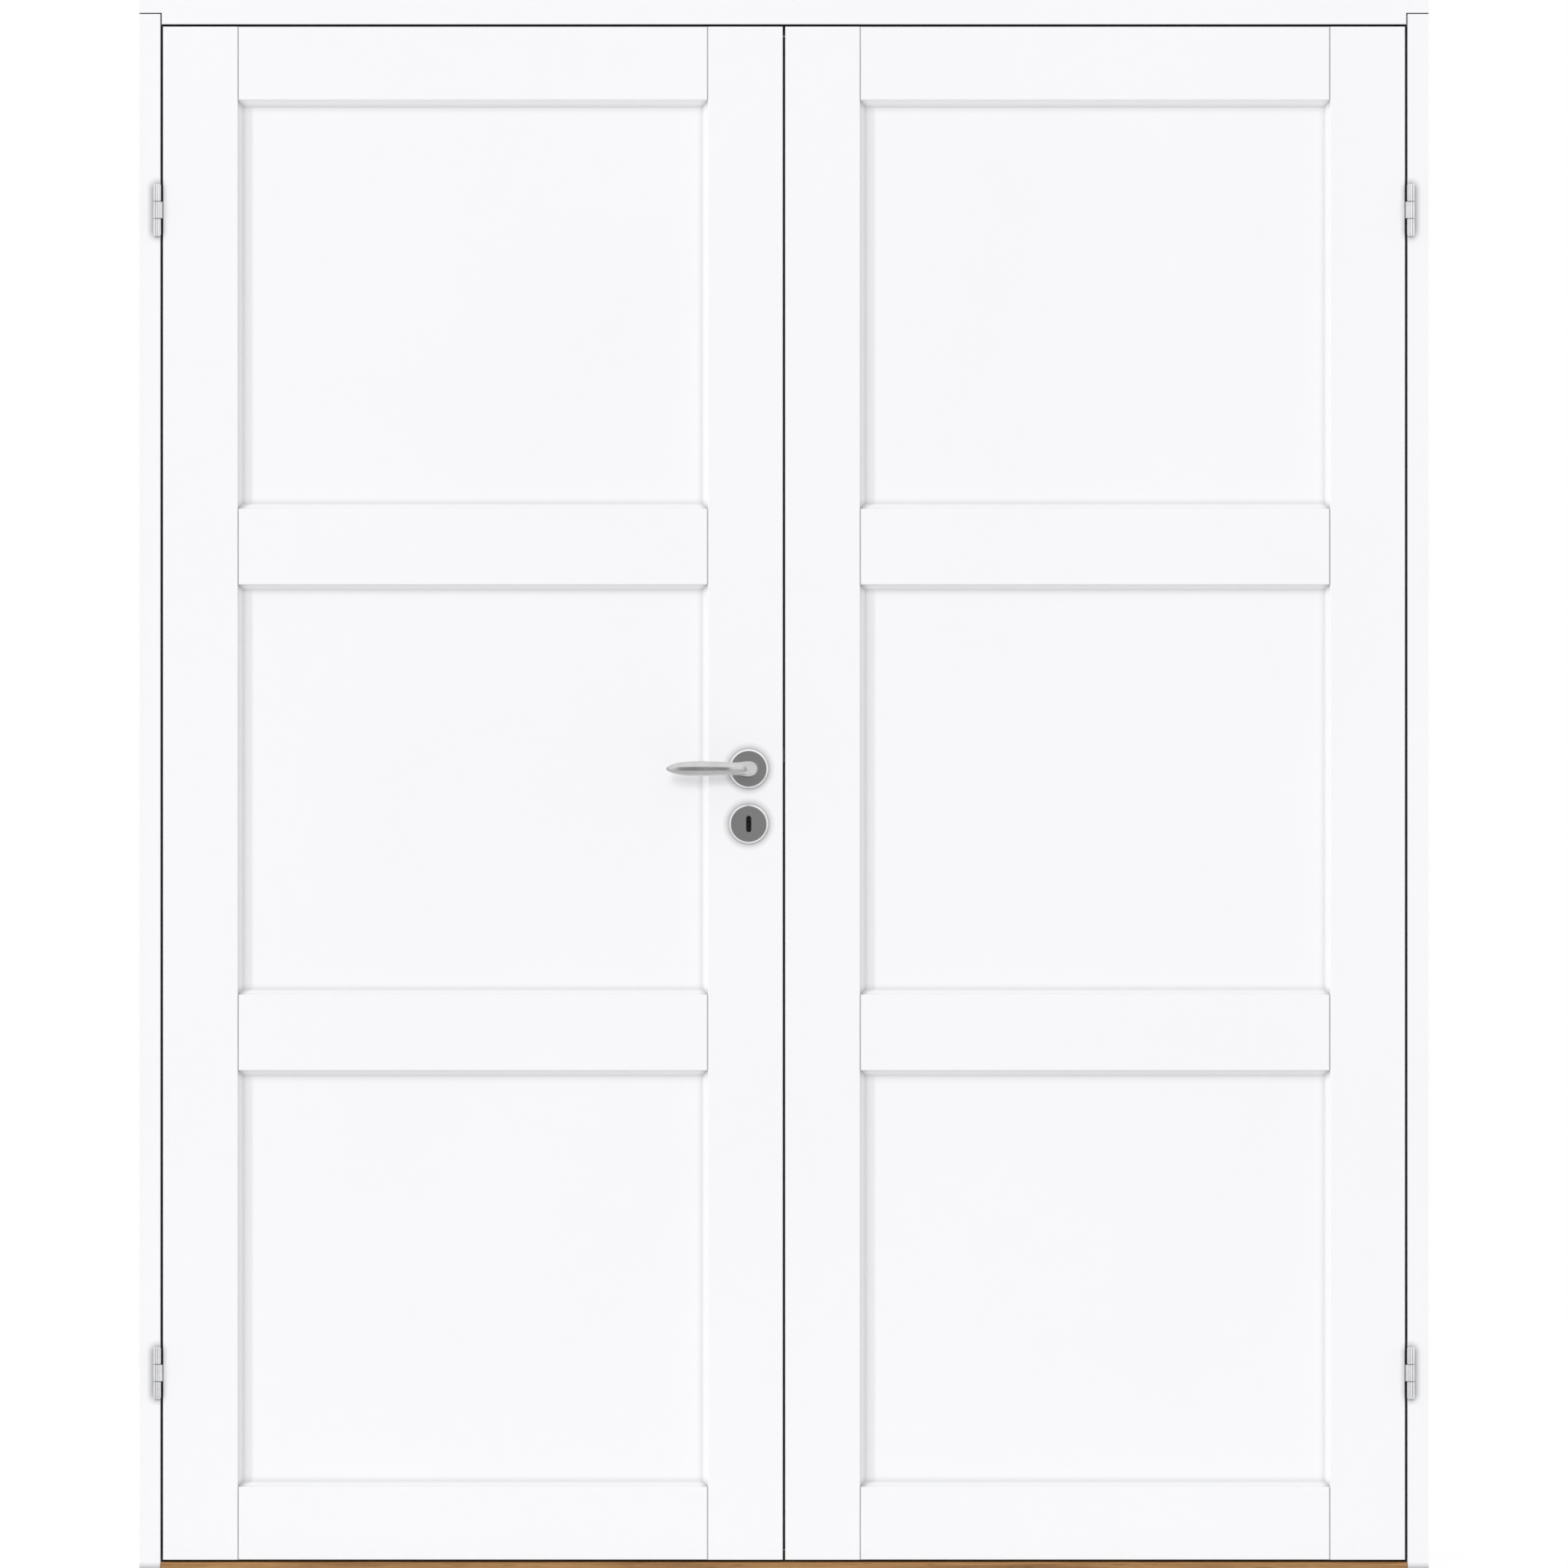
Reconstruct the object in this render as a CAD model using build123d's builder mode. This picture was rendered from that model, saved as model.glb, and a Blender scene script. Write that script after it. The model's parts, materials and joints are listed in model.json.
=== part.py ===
from build123d import *
import os
from math import cos, radians, sin

# A pair of panelled interior doors in a rebated frame with an oak threshold, in millimetres.
# X runs to the right as seen from the front, Y runs from the front to the back, Z is up.
# The origin is on the floor, midway between the jambs and midway through the frame's depth.

# Leaves
leaf_width = 825.0
leaf_height = 2040.0
leaf_thickness = 40.0
stile_width = 100.0
top_rail_height = 99.8
middle_rail_height = 101.0
bottom_rail_height = 97.0
upper_opening_height = 541.7
middle_opening_height = 545.5
panel_recess = 11.0
quirk_lean = 1.2
quirk_depth = 4.5
wall_lean = 7.5
top_rail_bevel = 3.0
top_rail_bevel_depth = 3.6
groove_depth = 14.5
panel_tongue = 12.0
tenon_end_gap = 0.5
line_bevel = 0.9
edge_bevel = 0.8
rail_line_width = 0.25

# Gaps round the leaves
side_gap = 3.0
meeting_gap = 3.0
head_gap = 3.0
foot_gap = 3.0

# Frame
frame_depth = 92.0
jamb_face = 28.5
head_face = 32.5
head_lap = 18.5
stop_height = 14.5
seal_space = 3.0
frame_bevel = 0.8
joint_gap = 0.3
frame_line_width = 1.5
frame_line_depth = 7.0
threshold_front_height = 9.5
threshold_back_height = 24.0
threshold_slope = 6.0
threshold_bevel = 1.5

# Rubber seals
kerf_offset = 4.0
kerf_width = 3.0
kerf_depth = 6.0
stem_clearance = 0.2
bulb_offset = 1.0
bulb_width = 10.0
seal_clearance = 0.3

# Hinges
hinge_below_top = 244.0
hinge_above_bottom = 248.5
hinge_outside_edge = 7.6
hinge_before_face = 6.5
knuckle_radius = 5.1
knuckle_length = 22.0
knuckle_gap = 0.8
knuckle_bevel = 0.5
pin_radius = 3.0
pin_clearance = 0.05
pin_head_radius = 4.2
pin_head_height = 0.8
plate_length = 110.0
plate_width = 30.0
plate_thickness = 2.0
plate_setback = 4.0
plate_corner = 8.0
plate_clearance = 0.3
leaf_plate_extra = 1.5
door_arm_offset = 2.2
door_arm_thickness = 1.8
door_arm_root = 9.0
door_arm_outer_bend = 0.8
door_arm_inner_bend = 1.2
door_arm_flare = 0.6

# Screws
screw_head_radius = 4.0
screw_radius = 2.0
screw_length = 22.0
lock_screw_length = 30.0
screw_head_height = 2.0
screw_clearance = 0.1
screw_margin = 14.0
hinge_screw_spread = (45.0, 20.0)
hinge_screw_stagger = 5.0

# Lock and furniture
handle_height = 1065.0
key_drop = 73.5
backset = 45.5
rose_radius = 26.0
rose_face_radius = 23.75
rose_thickness = 8.0
rose_wall = 1.8
keyhole_width = 6.9
keyhole_height = 22.0
key_passage_margin = 0.8
spindle_side = 8.0
spindle_clearance = 0.05
spindle_in_neck = 26.0
spindle_end_gap = 1.0
spindle_passage_radius = 10.0
neck_radius = 11.0
neck_clearance = 0.3
neck_sunk = 5.5
grip_stand = 48.0
knee_radius = 28.0
lever_reach = 110.0
# Sections of the knee: its turn in degrees, half height and half depth.
knee_sections = [(22.5, 10.6, 10.3), (45.0, 9.2, 9.4), (67.5, 8.4, 8.3)]
# Sections of the grip: distance from the spindle's axis, half height and half depth.
grip_sections = [
    (knee_radius, 8.7, 7.5),
    (38.0, 9.2, 7.3),
    (58.0, 10.0, 7.5),
    (78.0, 9.6, 7.0),
    (92.0, 8.2, 5.9),
    (100.0, 6.3, 4.6),
    (106.0, 3.9, 2.9),
]
grub_radius = 2.5
grub_length = 6.0
grub_clearance = 0.05
grub_set_in = 0.5
grub_before_rose = 7.0

# Lock case
case_depth = 66.0
case_thickness = 14.0
case_above_handle = 42.0
case_below_key = 42.0
case_wall = 1.5
case_clearance = 0.2
forend_width = 22.0
forend_length = 235.0
forend_thickness = 3.0
slide_clearance = 0.3
hub_radius = 8.4
hub_boss_radius = 7.95
hub_boss_clearance = 0.05
hub_side_clearance = 0.3
hub_arm_width = 6.0
hub_arm_reach = 14.0
latch_reach = 11.0
latch_height = 20.0
latch_above_handle = 8.0
latch_head_length = 26.0
latch_tail_height = 6.0
latch_tail_above_arm = 1.0
latch_prong_width = 6.3
latch_prong_gap = 0.7
latch_nose = 2.5
latch_bevel_start = 0.5
dead_bolt_height = 20.0
dead_bolt_above_key = 8.0
dead_bolt_head_length = 22.0
dead_bolt_tail_length = 36.0
dead_bolt_tail_height = 8.0
dead_bolt_set_in = 0.5

# Strike plate, in the edge of the passive leaf
strike_thickness = 2.0
strike_width = 22.0
strike_length = 190.0
strike_play = 1.0
strike_clearance = 0.2
strike_pocket_depth = 17.0

# Flush bolts, in the edge of the passive leaf
flush_plate_thickness = 3.0
flush_plate_width = 20.0
flush_plate_length = 180.0
flush_plate_return = 44.0
flush_rod_radius = 5.0
flush_rod_length = 150.0
flush_rod_depth = 11.0
flush_rod_set_in = 1.0
flush_travel = 11.0
flush_knob_width = 8.0
flush_knob_height = 14.0
flush_knob_from_end = 118.0
flush_knob_set_in = 0.3
keeper_width = 18.0
keeper_length = 44.0
keeper_thickness = 2.0
keeper_depth = 8.0

# Cover strip behind the meeting gap
cover_strip_width = 32.0
cover_strip_thickness = 9.0
cover_strip_overlap = 12.0
cover_strip_end_gap = 0.8
cover_strip_bevel = 2.0

# Frame fixings
sleeve_radius = 7.0
sleeve_bore_radius = 4.1
sleeve_hex = 10.0
sleeve_hex_depth = 8.0
sleeve_clearance = 0.05
sleeve_set_in = 0.5
sleeves_above_floor = (150.0, 700.0)
sleeves_below_top = (688.0, 158.0)

# How far a cut runs on past the face that it opens
overcut = 1.0
# A rounded rectangle's corners stay this much under half its width
round_end_trim = 0.01

# Places worked out from the sizes
front = -frame_depth / 2
back = frame_depth / 2
leaf_front = front
leaf_back = leaf_front + leaf_thickness
leaf_middle = (leaf_front + leaf_back) / 2
stop_front = leaf_back + seal_space
panel_front = leaf_front + panel_recess
panel_back = leaf_back - panel_recess
leaf_bottom = threshold_front_height + foot_gap
leaf_top = leaf_bottom + leaf_height
rebate_top = leaf_top + head_gap
stop_top = rebate_top - stop_height
frame_top = rebate_top + head_face
jamb_top = frame_top - head_lap
leaf_outer = meeting_gap / 2 + leaf_width
rebate_side = leaf_outer + side_gap
frame_side = rebate_side + jamb_face
stop_side = rebate_side - stop_height
hinge_x = -(leaf_outer + hinge_outside_edge)
hinge_y = leaf_front - hinge_before_face
hinge_heights = {"upper": leaf_top - hinge_below_top, "lower": leaf_bottom + hinge_above_bottom}
handle_x = -(meeting_gap / 2 + backset)
key_height = handle_height - key_drop
active_edge = -meeting_gap / 2
passive_edge = meeting_gap / 2
sleeve_heights = [*sleeves_above_floor, *[frame_top - drop for drop in sleeves_below_top]]

os.makedirs("parts", exist_ok=True)


def finish(name, piece):
    """Labels a finished piece and writes it."""
    piece.label = name
    export_step(piece, f"parts/{name}.step")


def block(low, high):
    """A plain block between two opposite corners."""
    with BuildPart() as piece:
        with BuildSketch(Plane.XY.offset(low[2])):
            with Locations(((low[0] + high[0]) / 2, (low[1] + high[1]) / 2)):
                Rectangle(high[0] - low[0], high[1] - low[1])
        extrude(amount=high[2] - low[2])
    return piece.part


def outline_extrusion(plane, points, amount):
    """A closed outline of straight lines, extruded along the plane's normal."""
    with BuildPart() as piece:
        with BuildSketch(plane):
            with BuildLine():
                Polyline(*points, close=True)
            make_face()
        extrude(amount=amount)
    return piece.part


def across_depth(y):
    """A plane that faces the front, at depth y: its x is X and its y is Z."""
    return Plane(origin=(0, y, 0), x_dir=(1, 0, 0), z_dir=(0, -1, 0))


def bar(centre_x, centre_y, radius, low, high):
    """An upright round bar."""
    with BuildPart() as piece:
        with BuildSketch(Plane.XY.offset(low)):
            with Locations((centre_x, centre_y)):
                Circle(radius)
        extrude(amount=high - low)
    return piece.part


def depth_bar(centre_x, centre_z, radius, near, far):
    """A round bar that lies along the depth, from y near to y far."""
    with BuildPart() as piece:
        with BuildSketch(across_depth(far)):
            with Locations((centre_x, centre_z)):
                Circle(radius)
        extrude(amount=far - near)
    return piece.part


def edge_plate(face_x, outward, centre_z, width, length, thickness, corner, centre_y=leaf_middle):
    """A flat plate with rounded ends, let into a face across X.

    face_x is its outer face, and outward is 1 where that face looks along +X and -1 along -X."""
    with BuildPart() as piece:
        with BuildSketch(Plane.YZ.offset(face_x)):
            with Locations((centre_y, centre_z)):
                RectangleRounded(width, length, min(corner, width / 2 - round_end_trim))
        extrude(amount=-outward * thickness)
    return piece.part


def with_cuts(body, cuts):
    """The body less each of the cuts."""
    with BuildPart() as piece:
        add(body)
        for cut in cuts:
            add(cut, mode=Mode.SUBTRACT)
    return piece.part


def joined(*solids):
    """Several solids as one part."""
    with BuildPart() as piece:
        for solid in solids:
            add(solid)
    return piece.part


def flipped(piece):
    """The same piece on the other side of the frame."""
    return mirror(piece, about=Plane.YZ, mode=Mode.PRIVATE)


def screw(clearance=0.0, length=screw_length):
    """A countersunk wood screw, its head's top at the origin and its shank down -Z."""
    head = screw_head_radius + clearance
    shank = screw_radius + clearance
    tip = -length - clearance
    with BuildPart() as piece:
        with BuildSketch(Plane.XZ):
            with BuildLine():
                Polyline(
                    (0, 0), (head, 0), (shank, -screw_head_height), (shank, tip + shank), (0, tip), close=True
                )
            make_face()
        revolve(axis=Axis.Z)
    return piece.part


def facing(direction, points):
    """Places for screws whose heads look along +X (1) or -X (-1)."""
    return [Location(point, (0, 90 * direction, 0)) for point in points]


def screws_at(places, clearance=0.0, length=screw_length):
    """One screw at each place."""
    shape = screw(clearance, length)
    return [shape.moved(place) for place in places]


# Frame: jambs, head and threshold
def jamb_blank():
    """The left jamb's section, extruded from the floor to under the head."""
    points = [
        (-frame_side, front),
        (-rebate_side - frame_bevel, front),
        (-rebate_side, front + frame_bevel),
        (-rebate_side, stop_front),
        (-rebate_side + kerf_offset, stop_front),
        (-rebate_side + kerf_offset, stop_front + kerf_depth),
        (-rebate_side + kerf_offset + kerf_width, stop_front + kerf_depth),
        (-rebate_side + kerf_offset + kerf_width, stop_front),
        (-stop_side - frame_bevel, stop_front),
        (-stop_side, stop_front + frame_bevel),
        (-stop_side, back - frame_bevel),
        (-stop_side - frame_bevel, back),
        (-frame_side, back),
    ]
    return outline_extrusion(Plane.XY, points, jamb_top)


def above_mitre(gap=0.0):
    """What lies above the mitre between the left jamb's stop and the head's stop."""
    points = [
        (-rebate_side, jamb_top + overcut),
        (-rebate_side, rebate_top - gap),
        (-stop_side + overcut, stop_top - overcut - gap),
        (-stop_side + overcut, jamb_top + overcut),
    ]
    return outline_extrusion(across_depth(back + overcut), points, frame_depth + 2 * overcut)


def beside_mitre(gap, far=back + overcut):
    """What the left jamb takes out of the head, as far as y far: its lap, and the wedge outside the mitre."""
    points = [
        (-frame_side - overcut, jamb_top + gap),
        (-rebate_side + gap, jamb_top + gap),
        (-rebate_side + gap, rebate_top),
        (-stop_side + overcut + gap, stop_top - overcut),
        (-frame_side - overcut, stop_top - overcut),
    ]
    return outline_extrusion(across_depth(far), points, far - front + overcut)


def hinge_pocket(face_x, outward, centre_z, width, centre_y):
    """The recess for a hinge plate, a little larger than the plate all round."""
    loose = 2 * plate_clearance
    shape = (width + loose, plate_length + loose, plate_thickness, plate_corner + plate_clearance)
    return edge_plate(face_x, outward, centre_z, *shape, centre_y=centre_y)


frame_plate_y = front + plate_setback + plate_width / 2
leaf_plate_width = plate_width + leaf_plate_extra
leaf_plate_start = leaf_front + plate_setback - leaf_plate_extra
leaf_plate_y = leaf_plate_start + leaf_plate_width / 2
outer_knuckle_centre = knuckle_length + knuckle_gap


def hinge_screw_points(face_x, centre_y, centre_z):
    """Four places on a hinge plate, staggered across it."""
    points = []
    for side in (-1, 1):
        for spread, stagger in zip(hinge_screw_spread, (hinge_screw_stagger, -hinge_screw_stagger)):
            points.append((face_x, centre_y + stagger, centre_z + side * spread))
    return points


frame_hinge_screws = []
leaf_hinge_screws = []
for centre in hinge_heights.values():
    frame_hinge_screws += facing(1, hinge_screw_points(-rebate_side, frame_plate_y, centre))
    leaf_hinge_screws += facing(-1, hinge_screw_points(-leaf_outer, leaf_plate_y, centre))


def frame_arm_slots(centre_z, clearance):
    """Where the frame leaf's two arms run forward out of the jamb, beside the outer knuckles."""
    slots = []
    for side in (-1, 1):
        middle = centre_z + side * outer_knuckle_centre
        half = knuckle_length / 2 + clearance
        low = (-rebate_side - plate_thickness, front - overcut, middle - half)
        slots.append(block(low, (-rebate_side, frame_plate_y, middle + half)))
    return slots


sleeve_y = (stop_front + back) / 2


def along_x_bar(y, z, radius, low, high):
    """A round bar that lies along X."""
    with BuildPart() as piece:
        with BuildSketch(Plane.YZ.offset(low)):
            with Locations((y, z)):
                Circle(radius)
        extrude(amount=high - low)
    return piece.part


jamb_cuts = [above_mitre()]
for centre in hinge_heights.values():
    jamb_cuts.append(hinge_pocket(-rebate_side, 1, centre, plate_width, frame_plate_y))
    jamb_cuts += frame_arm_slots(centre, plate_clearance)
jamb_cuts += screws_at(frame_hinge_screws, screw_clearance)
for height in sleeve_heights:
    radius = sleeve_radius + sleeve_clearance
    jamb_cuts.append(along_x_bar(sleeve_y, height, radius, -frame_side - overcut, -stop_side + overcut))
left_jamb = with_cuts(jamb_blank(), jamb_cuts)
finish("left_jamb", left_jamb)
finish("right_jamb", flipped(left_jamb))

# The flush bolts stand this far into the passive leaf from its meeting edge.
flush_x = passive_edge + flush_plate_thickness + flush_rod_depth - flush_rod_radius


def keeper_plate(low, clearance=0.0):
    """A small plate with a hole for a flush bolt."""
    half_length = keeper_length / 2 + clearance
    half_width = keeper_width / 2 + clearance
    return block(
        (flush_x - half_length, leaf_middle - half_width, low),
        (flush_x + half_length, leaf_middle + half_width, low + keeper_thickness),
    )


def head_piece():
    """The head's section along X, lapped over the jambs and mitred at the stops."""
    points = [
        (front, frame_top),
        (front, rebate_top + frame_bevel),
        (front + frame_bevel, rebate_top),
        (stop_front, rebate_top),
        (stop_front, rebate_top - kerf_offset),
        (stop_front + kerf_depth, rebate_top - kerf_offset),
        (stop_front + kerf_depth, rebate_top - kerf_offset - kerf_width),
        (stop_front, rebate_top - kerf_offset - kerf_width),
        (stop_front, stop_top + frame_bevel),
        (stop_front + frame_bevel, stop_top),
        (back - frame_bevel, stop_top),
        (back, stop_top + frame_bevel),
        (back, frame_top),
    ]
    body = outline_extrusion(Plane.YZ.offset(-frame_side), points, 2 * frame_side)
    hole = flush_rod_radius + slide_clearance
    lap = beside_mitre(joint_gap)
    line = beside_mitre(frame_line_width, front + frame_line_depth)
    cuts = [
        lap,
        flipped(lap),
        line,
        flipped(line),
        keeper_plate(rebate_top),
        bar(flush_x, leaf_middle, hole, rebate_top, rebate_top + keeper_depth + keeper_thickness),
    ]
    return with_cuts(body, cuts)


def threshold_piece():
    """The oak threshold: a low front under the leaves, and a higher stop behind them."""
    points = [
        (front, 0),
        (front, threshold_front_height - threshold_bevel),
        (front + threshold_bevel, threshold_front_height),
        (stop_front, threshold_front_height),
        (stop_front, threshold_back_height - threshold_bevel),
        (stop_front + threshold_bevel, threshold_back_height),
        (back - threshold_slope, threshold_back_height),
        (back, threshold_back_height - threshold_slope),
        (back, 0),
    ]
    reach = rebate_side - joint_gap
    body = outline_extrusion(Plane.YZ.offset(-reach), points, 2 * reach)
    beside_stop = block(
        (-rebate_side - overcut, stop_front - joint_gap, -overcut),
        (-stop_side + joint_gap, back + overcut, threshold_back_height + overcut),
    )
    hole = flush_rod_radius + slide_clearance
    keeper_low = threshold_front_height - keeper_thickness
    hole_low = threshold_front_height - keeper_depth
    cuts = [
        beside_stop,
        flipped(beside_stop),
        keeper_plate(keeper_low),
        bar(flush_x, leaf_middle, hole, hole_low, threshold_front_height + overcut),
    ]
    return with_cuts(body, cuts)


def keeper(low):
    """A keeper plate with its hole."""
    radius = flush_rod_radius + slide_clearance
    hole = bar(flush_x, leaf_middle, radius, low - overcut, low + keeper_thickness + overcut)
    return with_cuts(keeper_plate(low), [hole])


finish("head", head_piece())
finish("threshold", threshold_piece())
finish("top_bolt_keeper", keeper(rebate_top))
finish("bottom_bolt_keeper", keeper(threshold_front_height - keeper_thickness))


# Seals: a bulb on the stop's face, with a stem in the kerf
def seal_section(plane, place, length):
    """place turns (distance from the rebate's corner, depth) into the plane's coordinates."""
    stem_low = kerf_offset + stem_clearance
    stem_high = kerf_offset + kerf_width - stem_clearance
    stem_end = stop_front + kerf_depth - stem_clearance
    crown = leaf_back + seal_clearance
    with BuildPart() as piece:
        with BuildSketch(plane):
            with BuildLine():
                ThreePointArc(
                    place(bulb_offset, stop_front),
                    place(bulb_offset + bulb_width / 2, crown),
                    place(bulb_offset + bulb_width, stop_front),
                )
                Polyline(
                    place(bulb_offset + bulb_width, stop_front),
                    place(stem_high, stop_front),
                    place(stem_high, stem_end),
                    place(stem_low, stem_end),
                    place(stem_low, stop_front),
                    place(bulb_offset, stop_front),
                )
            make_face()
        extrude(amount=length)
    return piece.part


seal_foot = threshold_back_height + joint_gap
upright_seal = seal_section(
    Plane.XY.offset(seal_foot), lambda from_corner, y: (-rebate_side + from_corner, y), jamb_top - seal_foot
)
left_seal = with_cuts(upright_seal, [above_mitre(joint_gap)])
finish("left_seal", left_seal)
finish("right_seal", flipped(left_seal))
level_seal = seal_section(
    Plane.YZ.offset(-rebate_side), lambda from_corner, y: (y, rebate_top - from_corner), 2 * rebate_side
)
head_seal = with_cuts(level_seal, [beside_mitre(joint_gap), flipped(beside_mitre(joint_gap))])
finish("head_seal", head_seal)


# Frame sleeves, which take the screws into the wall
def fixing_sleeve(height):
    """A tube through the jamb's stop, with a hexagon socket at its inner end."""
    inner_end = -stop_side - sleeve_set_in
    with BuildPart() as piece:
        add(along_x_bar(sleeve_y, height, sleeve_radius, -frame_side, inner_end))
        add(
            along_x_bar(sleeve_y, height, sleeve_bore_radius, -frame_side - overcut, inner_end + overcut),
            mode=Mode.SUBTRACT,
        )
        with BuildSketch(Plane.YZ.offset(inner_end)):
            with Locations((sleeve_y, height)):
                RegularPolygon(sleeve_hex / 2, 6, major_radius=False)
        extrude(amount=-sleeve_hex_depth, mode=Mode.SUBTRACT)
    return piece.part


left_sleeves = [fixing_sleeve(height) for height in sleeve_heights]
finish("frame_sleeves", joined(*left_sleeves, *[flipped(sleeve) for sleeve in left_sleeves]))


# Hinges
def knuckle(centre_z):
    """One solid knuckle round the hinge's axis, with bevelled ends."""
    half = knuckle_length / 2
    profile = [
        (0, -half),
        (knuckle_radius - knuckle_bevel, -half),
        (knuckle_radius, knuckle_bevel - half),
        (knuckle_radius, half - knuckle_bevel),
        (knuckle_radius - knuckle_bevel, half),
        (0, half),
    ]
    with BuildPart() as piece:
        with BuildSketch(Plane.XZ):
            with BuildLine():
                Polyline(*profile, close=True)
            make_face()
        revolve(axis=Axis.Z)
    return piece.part.moved(Location((hinge_x, hinge_y, centre_z)))


def pin_bore(centre_z):
    """The hole for the pin through all three knuckles."""
    reach = plate_length / 2
    return bar(hinge_x, hinge_y, pin_radius + pin_clearance, centre_z - reach, centre_z + reach)


def frame_hinge_leaf(centre_z):
    """The plate in the left jamb, with the upper and lower knuckles on two straight arms."""
    plate = edge_plate(
        -rebate_side, 1, centre_z, plate_width, plate_length, plate_thickness, plate_corner, frame_plate_y
    )
    with BuildPart() as piece:
        add(plate)
        for side in (-1, 1):
            middle = centre_z + side * outer_knuckle_centre
            low = (-rebate_side - plate_thickness, hinge_y, middle - knuckle_length / 2)
            add(block(low, (-rebate_side, frame_plate_y, middle + knuckle_length / 2)))
            add(knuckle(middle))
    screws = facing(1, hinge_screw_points(-rebate_side, frame_plate_y, centre_z))
    return with_cuts(piece.part, [pin_bore(centre_z), *screws_at(screws, screw_clearance)])


def leaf_hinge_leaf(centre_z):
    """The plate in the left leaf's edge, with the middle knuckle on an arm that runs in the gap."""
    plate = edge_plate(
        -leaf_outer, -1, centre_z, leaf_plate_width, plate_length, plate_thickness, plate_corner, leaf_plate_y
    )
    gap_side = -leaf_outer - door_arm_offset
    thinned = gap_side + door_arm_thickness
    arm_points = [
        (-leaf_outer, leaf_front + door_arm_root),
        (gap_side, leaf_front + door_arm_root - door_arm_offset),
        (gap_side, leaf_front - door_arm_outer_bend),
        (hinge_x + plate_thickness, hinge_y),
        (hinge_x + plate_thickness + door_arm_thickness + door_arm_flare, hinge_y),
        (thinned, leaf_front - door_arm_inner_bend),
        (-leaf_outer, leaf_plate_start),
    ]
    low = centre_z - knuckle_length / 2
    arm = outline_extrusion(Plane.XY.offset(low), arm_points, knuckle_length)
    body = joined(plate, arm, knuckle(centre_z))
    screws = facing(-1, hinge_screw_points(-leaf_outer, leaf_plate_y, centre_z))
    return with_cuts(body, [pin_bore(centre_z), *screws_at(screws, screw_clearance)])


def hinge_pin(centre_z):
    """A pin through the knuckles, with a small head at each end."""
    half = 1.5 * knuckle_length + knuckle_gap
    return joined(
        bar(hinge_x, hinge_y, pin_radius, centre_z - half, centre_z + half),
        bar(hinge_x, hinge_y, pin_head_radius, centre_z + half, centre_z + half + pin_head_height),
        bar(hinge_x, hinge_y, pin_head_radius, centre_z - half - pin_head_height, centre_z - half),
    )


for level, centre in hinge_heights.items():
    on_frame = frame_hinge_leaf(centre)
    on_leaf = leaf_hinge_leaf(centre)
    finish(f"{level}_left_frame_hinge", on_frame)
    finish(f"{level}_right_frame_hinge", flipped(on_frame))
    finish(f"{level}_left_leaf_hinge", on_leaf)
    finish(f"{level}_right_leaf_hinge", flipped(on_leaf))
left_pins = [hinge_pin(centre) for centre in hinge_heights.values()]
finish("hinge_pins", joined(*left_pins, *[flipped(pin) for pin in left_pins]))
left_frame_screws = screws_at(frame_hinge_screws)
finish("frame_hinge_screws", joined(*left_frame_screws, *[flipped(one) for one in left_frame_screws]))


# Leaves: stiles, rails and panels
def moulded_edge(reach, outward, bevel=line_bevel, bevel_depth=line_bevel):
    """The edge of a stile or rail that holds a panel, from front to back, at distance reach.

    From the face it has a bevel, a steep quirk, a slope down to the panel, and the panel's groove."""
    steps = [
        (-bevel, leaf_front),
        (0, leaf_front + bevel_depth),
        (quirk_lean, leaf_front + quirk_depth),
        (wall_lean, panel_front),
        (wall_lean - groove_depth, panel_front),
        (wall_lean - groove_depth, panel_back),
        (wall_lean, panel_back),
        (quirk_lean, leaf_back - quirk_depth),
        (0, leaf_back - bevel_depth),
        (-bevel, leaf_back),
    ]
    return [(reach + outward * step, y) for step, y in steps]


def top_moulded_edge(reach, outward):
    """The top rail's lower edge, which has a wide bevel before the quirk."""
    return moulded_edge(reach, outward, top_rail_bevel, top_rail_bevel_depth)


def plain_edge(reach, outward):
    """The edge of a stile or rail that meets the frame or the other leaf, from front to back."""
    steps = [
        (-edge_bevel, leaf_front),
        (0, leaf_front + edge_bevel),
        (0, leaf_back - edge_bevel),
        (-edge_bevel, leaf_back),
    ]
    return [(reach + outward * step, y) for step, y in steps]


def stile(low, low_edge, high, high_edge):
    """An upright member between x low and x high, as tall as the leaf."""
    points = high_edge(high, 1) + low_edge(low, -1)[::-1]
    return outline_extrusion(Plane.XY.offset(leaf_bottom), points, leaf_height)


def rail(leaf_left, low, low_edge, high, high_edge, stiles):
    """A level member between z low and z high, with stub tenons that fill the stiles' grooves."""
    start = leaf_left + stile_width + wall_lean - groove_depth + tenon_end_gap
    length = 2 * (leaf_left + leaf_width / 2 - start)
    points = high_edge(high, 1) + low_edge(low, -1)[::-1]
    body = outline_extrusion(Plane.YZ.offset(start), [(y, z) for z, y in points], length)
    return with_cuts(body, [*stiles, *joint_lines(leaf_left)])


def joint_lines(leaf_left):
    """The bevels and fine slits that a rail's ends have beside the stiles' quirks, on both faces."""
    steps = [
        (-line_bevel, 0),
        (line_bevel + rail_line_width, 0),
        (rail_line_width, line_bevel),
        (rail_line_width + quirk_lean, quirk_depth),
        (quirk_lean, quirk_depth),
        (0, line_bevel),
    ]
    lines = []
    for edge, into_rail in ((leaf_left + stile_width, 1), (leaf_left + leaf_width - stile_width, -1)):
        for face, inward in ((leaf_front, 1), (leaf_back, -1)):
            points = [(edge + into_rail * across, face + inward * down) for across, down in steps]
            lines.append(outline_extrusion(Plane.XY.offset(leaf_bottom), points, leaf_height))
    return lines


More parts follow.
